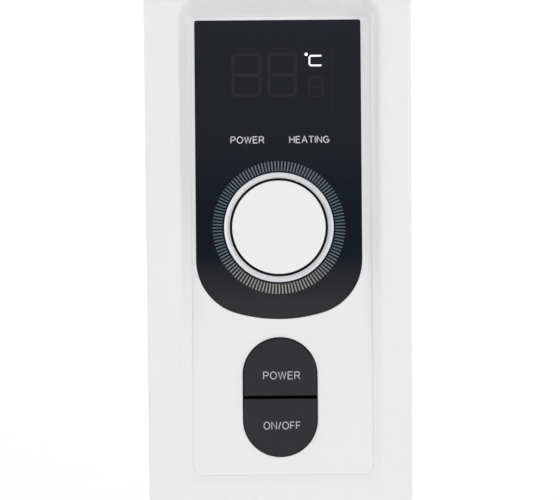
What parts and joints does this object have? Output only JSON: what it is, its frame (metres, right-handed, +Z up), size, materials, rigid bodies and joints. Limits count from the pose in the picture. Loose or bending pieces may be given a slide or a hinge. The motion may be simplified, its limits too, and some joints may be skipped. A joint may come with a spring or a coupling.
{
  "type": "oil filled radiator heater",
  "caption": "Free-standing oil filled radiator: finned steel body on castors, front casing with display, rotary knob and two keys.",
  "frame": {"origin": "on the floor, under the middle of the whole heater's box", "axes": "+Z up; the control panel faces -Y; +X is to the right of a person who looks at the panel"},
  "size_m": [0.256, 0.379, 0.674],
  "materials": {
    "casing_white": "fine satin moulded plastic, white",
    "window_black": "gloss black, smoked",
    "knob_white": "matt white",
    "knob_silver": "satin silver",
    "key_charcoal": "satin charcoal",
    "fin_white": "semi-gloss white enamel",
    "foot_white": "semi-gloss white enamel",
    "zinc_steel": "zinc plated",
    "axle_steel": "turned steel",
    "brass": "turned brass",
    "element_steel": "annealed sheath",
    "board_green": "solder mask on glass fibre board",
    "part_black": "moulded black",
    "part_white": "moulded natural white",
    "relay_blue": "moulded blue",
    "terminal_green": "moulded green",
    "lead_red": "silicone sleeve",
    "seal_rubber": "moulded rubber",
    "pendulum_steel": "turned steel",
    "castor_grey": "moulded light grey",
    "wheel_black": "moulded black tread"
  },
  "bodies": {
    "heater": {"front_cover": "casing_white", "rear_housing": "casing_white", "control_plate": "casing_white", "handle": "casing_white", "display_window": "window_black", "fin_1": "fin_white", "fin_2": "fin_white", "fin_3": "fin_white", "fin_4": "fin_white", "fin_5": "fin_white", "fin_6": "fin_white", "fin_7": "fin_white", "foot_front": "foot_white", "foot_rear": "foot_white", "panel_screws": "zinc_steel", "casing_screws": "zinc_steel", "pcb_screws": "zinc_steel", "handle_screws": "zinc_steel", "mounting_plate": "zinc_steel", "u_bolts": "zinc_steel", "wing_nuts": "zinc_steel", "filler_plug": "zinc_steel", "encoder_nut": "brass", "encoder_body": "brass", "heating_element": "element_steel", "control_pcb": "board_green", "power_pcb": "board_green", "tact_switches": "part_black", "led_display": "part_black", "transformer": "part_black", "thermal_cutout": "part_black", "room_sensor": "part_black", "indicator_leds": "part_white", "tilt_switch_body": "part_white", "ribbon_cable": "part_white", "relays": "relay_blue", "terminal_block": "terminal_green", "element_leads": "lead_red", "element_gasket": "seal_rubber", "cord_gland": "seal_rubber"},
    "knob": {"knob_ring": "knob_silver", "knob_cap": "knob_white", "encoder_shaft": "axle_steel"},
    "power_key": {"button_power": "key_charcoal", "tact_plunger_power": "part_white"},
    "on_off_key": {"button_on_off": "key_charcoal", "tact_plunger_on_off": "part_white"},
    "tilt_weight": {"tilt_pendulum": "pendulum_steel"},
    "castor_front_left": {"castor_hood_front_left": "castor_grey", "castor_axle_front_left": "axle_steel"},
    "wheels_front_left": {"castor_wheels_front_left": "wheel_black"},
    "castor_front_right": {"castor_hood_front_right": "castor_grey", "castor_axle_front_right": "axle_steel"},
    "wheels_front_right": {"castor_wheels_front_right": "wheel_black"},
    "castor_rear_left": {"castor_hood_rear_left": "castor_grey", "castor_axle_rear_left": "axle_steel"},
    "wheels_rear_left": {"castor_wheels_rear_left": "wheel_black"},
    "castor_rear_right": {"castor_hood_rear_right": "castor_grey", "castor_axle_rear_right": "axle_steel"},
    "wheels_rear_right": {"castor_wheels_rear_right": "wheel_black"}
  },
  "joints": [
    {"name": "knob_turn", "type": "hinge", "parent": "heater", "child": "knob", "pos_m": [0, -0.17797, 0.488], "axis": [0, -0.999, 0.0436], "continuous": true},
    {"name": "power_key_press", "type": "slide", "parent": "heater", "child": "power_key", "axis": [0, 0.999, -0.0436], "range_m": [0, 0.001], "stiffness_N_per_m": 800, "springref_m": -0.0005},
    {"name": "on_off_key_press", "type": "slide", "parent": "heater", "child": "on_off_key", "axis": [0, 0.999, -0.0436], "range_m": [0, 0.001], "stiffness_N_per_m": 800, "springref_m": -0.0005},
    {"name": "tilt_weight_swing", "type": "hinge", "parent": "heater", "child": "tilt_weight", "pos_m": [-0.004, -0.11047, 0.1175], "axis": [0, 1, 0], "range_deg": [-25, 25]},
    {"name": "castor_swivel_front_left", "type": "hinge", "parent": "heater", "child": "castor_front_left", "pos_m": [-0.108, -0.04497, 0.05], "axis": [0, 0, 1], "continuous": true},
    {"name": "wheel_spin_front_left", "type": "hinge", "parent": "castor_front_left", "child": "wheels_front_left", "pos_m": [-0.108, -0.03097, 0.019], "axis": [1, 0, 0], "continuous": true},
    {"name": "castor_swivel_front_right", "type": "hinge", "parent": "heater", "child": "castor_front_right", "pos_m": [0.108, -0.04497, 0.05], "axis": [0, 0, 1], "continuous": true},
    {"name": "wheel_spin_front_right", "type": "hinge", "parent": "castor_front_right", "child": "wheels_front_right", "pos_m": [0.108, -0.03097, 0.019], "axis": [1, 0, 0], "continuous": true},
    {"name": "castor_swivel_rear_left", "type": "hinge", "parent": "heater", "child": "castor_rear_left", "pos_m": [-0.108, 0.14503, 0.05], "axis": [0, 0, 1], "continuous": true},
    {"name": "wheel_spin_rear_left", "type": "hinge", "parent": "castor_rear_left", "child": "wheels_rear_left", "pos_m": [-0.108, 0.15903, 0.019], "axis": [1, 0, 0], "continuous": true},
    {"name": "castor_swivel_rear_right", "type": "hinge", "parent": "heater", "child": "castor_rear_right", "pos_m": [0.108, 0.14503, 0.05], "axis": [0, 0, 1], "continuous": true},
    {"name": "wheel_spin_rear_right", "type": "hinge", "parent": "castor_rear_right", "child": "wheels_rear_right", "pos_m": [0.108, 0.15903, 0.019], "axis": [1, 0, 0], "continuous": true}
  ]
}
